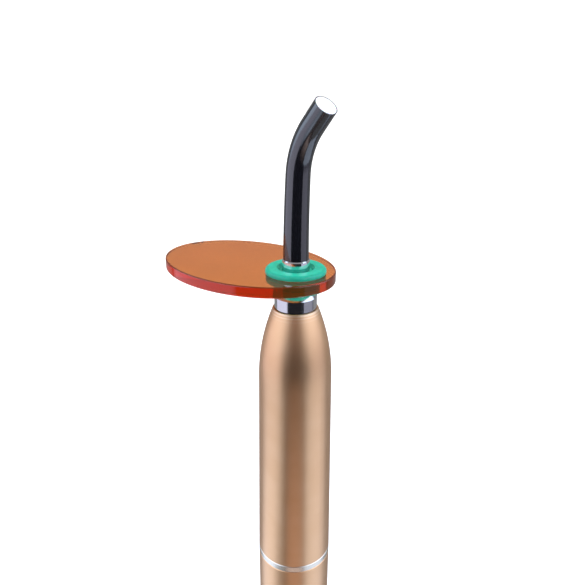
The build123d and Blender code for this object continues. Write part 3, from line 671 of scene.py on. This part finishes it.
def make_display():
    """Two digits that show 20 seconds, over marks for steady, rising and pulsed light."""
    low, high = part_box("display_module")
    middle_up = (low[2] + high[2]) / 2 / MM
    lit, unlit = [], []
    for across, shown in ((-DIGIT_PLACE, TWO), (DIGIT_PLACE, ZERO)):
        for part, (u, v, angle) in SEGMENTS.items():
            middle = (across + u * DIGIT_LENGTH, middle_up + DIGIT_RISE + v * DIGIT_LENGTH)
            outline = segment(middle, DIGIT_LENGTH - DIGIT_GAP, DIGIT_WIDTH, angle)
            (lit if part in shown else unlit).append(outline)
    marks_up = middle_up - MARK_DROP
    steady = bar((-MARK_PLACE, marks_up), MARK_LENGTH, MARK_HEIGHT)
    rising = bar((0, marks_up), MARK_LENGTH, MARK_HEIGHT)[:3]
    lit.append(steady)
    unlit.append(rising)
    for step in (-PULSE_GAP, 0, PULSE_GAP):
        unlit.append(bar((MARK_PLACE + step, marks_up), MARK_HEIGHT, PULSE_WIDTH, 90))
    red = lit_print("display_red", DISPLAY_RED, level=3.0)
    ghost = moulded("display_unlit", (0.05, 0.02, 0.018), (0.06, 0.025, 0.02), 0.3)
    raised_print("display_lit", lit, low[0], red, "handle")
    raised_print("display_dark", unlit, low[0], ghost, "handle")


def make_button_signs():
    """Plain signs on the three caps: on and off, rising light, and a timer."""
    ink = moulded("sign_ink", (0.03, 0.03, 0.032), (0.045, 0.045, 0.045), 0.5)
    signs = {
        "power": [
            arc_band((0, 0), radius=1.45, width=0.34, start=122, sweep=296),
            bar((0, 1.15), length=1.5, width=0.34, angle=90),
        ],
        "mode": [
            bar((0.55 * step, 0.3 * step), length=0.8 + 0.6 * step, width=0.32, angle=90)
            for step in (-1, 0, 1)
        ],
        "time": [
            arc_band((0, 0), radius=1.15, width=0.26, start=95, sweep=350),
            bar((0, 0.37), length=0.74, width=0.24, angle=90),
        ],
    }
    for key, outlines in signs.items():
        low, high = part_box(f"{key}_button")
        middle = Vector((0, (low[2] + high[2]) / 2 / MM))
        placed = [[point + middle for point in outline] for outline in outlines]
        raised_print(f"{key}_sign", placed, low[0], ink, f"{key}_key")


make_display()
make_button_signs()


# ---- Floor, backdrop and light --------------------------------------------------------
DOME_RADIUS = 3.0
DOME_LIGHT = 1.15
FLOOR_RADIUS = 2.9
FLOOR_LIGHT = 0.5
WORLD_LIGHT = 0.34
SIDE_DISTANCE = 0.6
FRONT_DISTANCE = 0.5


def glow(name, strength, tint=(1, 1, 1)):
    """A material that gives off even light."""
    material = bpy.data.materials.new(name)
    material.use_nodes = True
    tree = material.node_tree
    tree.nodes.clear()
    light = add_node(tree, "ShaderNodeEmission")
    light.inputs["Color"].default_value = (*tint, 1)
    light.inputs["Strength"].default_value = strength
    output = add_node(tree, "ShaderNodeOutputMaterial")
    tree.links.new(light.outputs[0], output.inputs["Surface"])
    return material


def card_glow(name, stops, tint, edge):
    """Light that follows a list of (height in metres, strength) and fades at the card's sides."""
    material = glow(name, 1.0, tint)
    tree = material.node_tree
    split = add_node(tree, "ShaderNodeSeparateXYZ")
    tree.links.new(add_node(tree, "ShaderNodeTexCoord").outputs["UV"], split.inputs[0])
    ramp = add_node(tree, "ShaderNodeValToRGB")
    tree.links.new(split.outputs[1], ramp.inputs[0])
    foot, head = stops[0][0], stops[-1][0]
    peak = max(strength for _, strength in stops)
    marks = ramp.color_ramp.elements
    for place, (height, strength) in enumerate(stops):
        share = (height - foot) / (head - foot)
        mark = marks[place] if place in (0, 1) else marks.new(share)
        mark.position = share
        mark.color = (*[strength / peak] * 3, 1)
    inset = calculate(tree, "PINGPONG", split.outputs[0], 0.5)
    sides = remap(tree, inset, 0.0, edge, 0, peak, smooth=True)
    light = next(node for node in tree.nodes if node.type == "EMISSION")
    tree.links.new(calculate(tree, "MULTIPLY", ramp.outputs[0], sides), light.inputs["Strength"])
    return material


def stage_piece(name, data, material):
    """A mesh that belongs to the studio and not to the object."""
    data.materials.append(material)
    piece = bpy.data.objects.new(name, data)
    bpy.context.scene.collection.objects.link(piece)
    return piece


def soft_box(name, bearing, spread, distance, stops, tint, edge=0.2, steps=24):
    """A glowing card curved round the handle, which the camera doesn't see. bearing and spread
    are in degrees, and bearing is measured to the right from the camera's side."""
    foot, head = stops[0][0], stops[-1][0]
    mesh = bmesh.new()
    layer = mesh.loops.layers.uv.new("UVMap")
    columns = []
    for step in range(steps + 1):
        share = step / steps
        turn = math.radians(CAMERA_HEADING + bearing + (share - 0.5) * spread)
        x, y = distance * math.sin(turn), -distance * math.cos(turn)
        columns.append((share, mesh.verts.new((x, y, foot)), mesh.verts.new((x, y, head))))
    for (left, left_foot, left_head), (right, right_foot, right_head) in zip(columns, columns[1:]):
        face = mesh.faces.new((left_foot, right_foot, right_head, left_head))
        corners = ((left, 0), (right, 0), (right, 1), (left, 1))
        for loop, corner in zip(face.loops, corners):
            loop[layer].uv = corner
    card = stage_piece(name, mesh_data(name, mesh), card_glow(name, stops, tint, edge))
    card.visible_camera = False
    card.visible_transmission = False
    card.visible_shadow = False


def make_backdrop():
    """A white dome round everything. It isn't reflected, so that the metal keeps its contrast."""
    mesh = bmesh.new()
    bmesh.ops.create_uvsphere(mesh, u_segments=48, v_segments=24, radius=DOME_RADIUS)
    dome = stage_piece("backdrop", mesh_data("backdrop", mesh), glow("backdrop_white", DOME_LIGHT))
    dome.visible_glossy = False
    dome.visible_shadow = False


def make_floor():
    """A pale floor that shows from above only, so that the tail can be seen from below."""
    mesh = bmesh.new()
    bmesh.ops.create_circle(mesh, cap_ends=True, segments=96, radius=FLOOR_RADIUS)
    material, tree, shader = start_material("floor_white")
    set_shader(shader, Base_Color=(0.92, 0.92, 0.92, 1), Roughness=0.9, Specular_IOR_Level=0.0)
    set_shader(shader, Emission_Color=(1, 1, 1, 1), Emission_Strength=FLOOR_LIGHT)
    clear = add_node(tree, "ShaderNodeBsdfTransparent")
    sides = add_node(tree, "ShaderNodeMixShader")
    under = add_node(tree, "ShaderNodeNewGeometry")
    tree.links.new(under.outputs["Backfacing"], sides.inputs[0])
    tree.links.new(shader.outputs[0], sides.inputs[1])
    tree.links.new(clear.outputs[0], sides.inputs[2])
    tree.links.new(sides.outputs[0], tree.nodes["Material Output"].inputs["Surface"])
    floor = stage_piece("floor", mesh_data("floor", mesh), material)
    floor.visible_glossy = False


def make_world():
    """Dim, even light from everywhere that the cards leave open."""
    world = bpy.data.worlds.new("world")
    world.use_nodes = True
    background = world.node_tree.nodes["Background"]
    background.inputs["Color"].default_value = (0.95, 0.97, 1.0, 1)
    background.inputs["Strength"].default_value = WORLD_LIGHT
    bpy.context.scene.world = world


# Tints of the cards
COOL = (0.90, 0.90, 1.12)
PALE = (0.90, 1.04, 1.30)
WARM = (0.97, 0.76, 0.70)
AMBER = (1.0, 0.50, 0.30)
# Heights in metres and strengths of the cards. The low ones go below the floor, because the
# steep sides of the handle mirror the place where a bright table would be.
LEFT_FOOT = ((-1.0, 1.0), (-0.45, 1.45))
LEFT_LOW = ((-0.45, 1.45), (-0.33, 1.2), (-0.22, 0.85), (-0.13, 0.85))
LEFT_MIDDLE = ((-0.13, 1.0), (0.0, 1.15), (0.16, 1.15))
LEFT_HIGH = ((0.16, 1.6), (0.30, 1.85), (0.75, 1.7), (1.0, 0.0))
RIGHT_LOW = ((-1.0, 1.15), (-0.45, 1.10), (-0.13, 1.15))
RIGHT_MIDDLE = ((-0.13, 0.40), (-0.06, 0.36), (0.0, 0.72), (0.16, 0.72))
RIGHT_HIGH = ((0.16, 1.7), (0.30, 1.85), (1.0, 1.7))
FRONT_LOW = ((-0.9, 0.12), (-0.6, 0.3), (-0.46, 1.1), (-0.3, 0.65), (-0.12, 0.13), (-0.09, 0.12))
FRONT_MIDDLE = ((-0.09, 0.02), (0.16, 0.02))
FRONT_HIGH = ((0.16, 0.06), (0.24, 0.15), (0.56, 0.15), (0.75, 1.2), (1.1, 1.2))
make_backdrop()
make_floor()
make_world()
soft_box("left_foot", -92, 76, SIDE_DISTANCE, LEFT_FOOT, PALE)
soft_box("left_low", -76, 96, SIDE_DISTANCE, LEFT_LOW, PALE)
soft_box("left_middle", -82, 85, SIDE_DISTANCE, LEFT_MIDDLE, COOL, edge=0.12)
soft_box("left_high", -74, 102, SIDE_DISTANCE, LEFT_HIGH, PALE)
soft_box("right_low", 69, 94, SIDE_DISTANCE, RIGHT_LOW, PALE)
soft_box("right_middle", 73, 70, SIDE_DISTANCE, RIGHT_MIDDLE, COOL, edge=0.12)
soft_box("right_high", 72, 100, SIDE_DISTANCE, RIGHT_HIGH, PALE)
soft_box("front_low", 1, 62, FRONT_DISTANCE, FRONT_LOW, WARM)
soft_box("front_middle", 1, 88, FRONT_DISTANCE, FRONT_MIDDLE, COOL, edge=0.05)
soft_box("front_high", 1, 50, FRONT_DISTANCE, FRONT_HIGH, AMBER)

bpy.context.scene.view_settings.view_transform = "Standard"
bpy.context.scene.view_settings.look = "None"
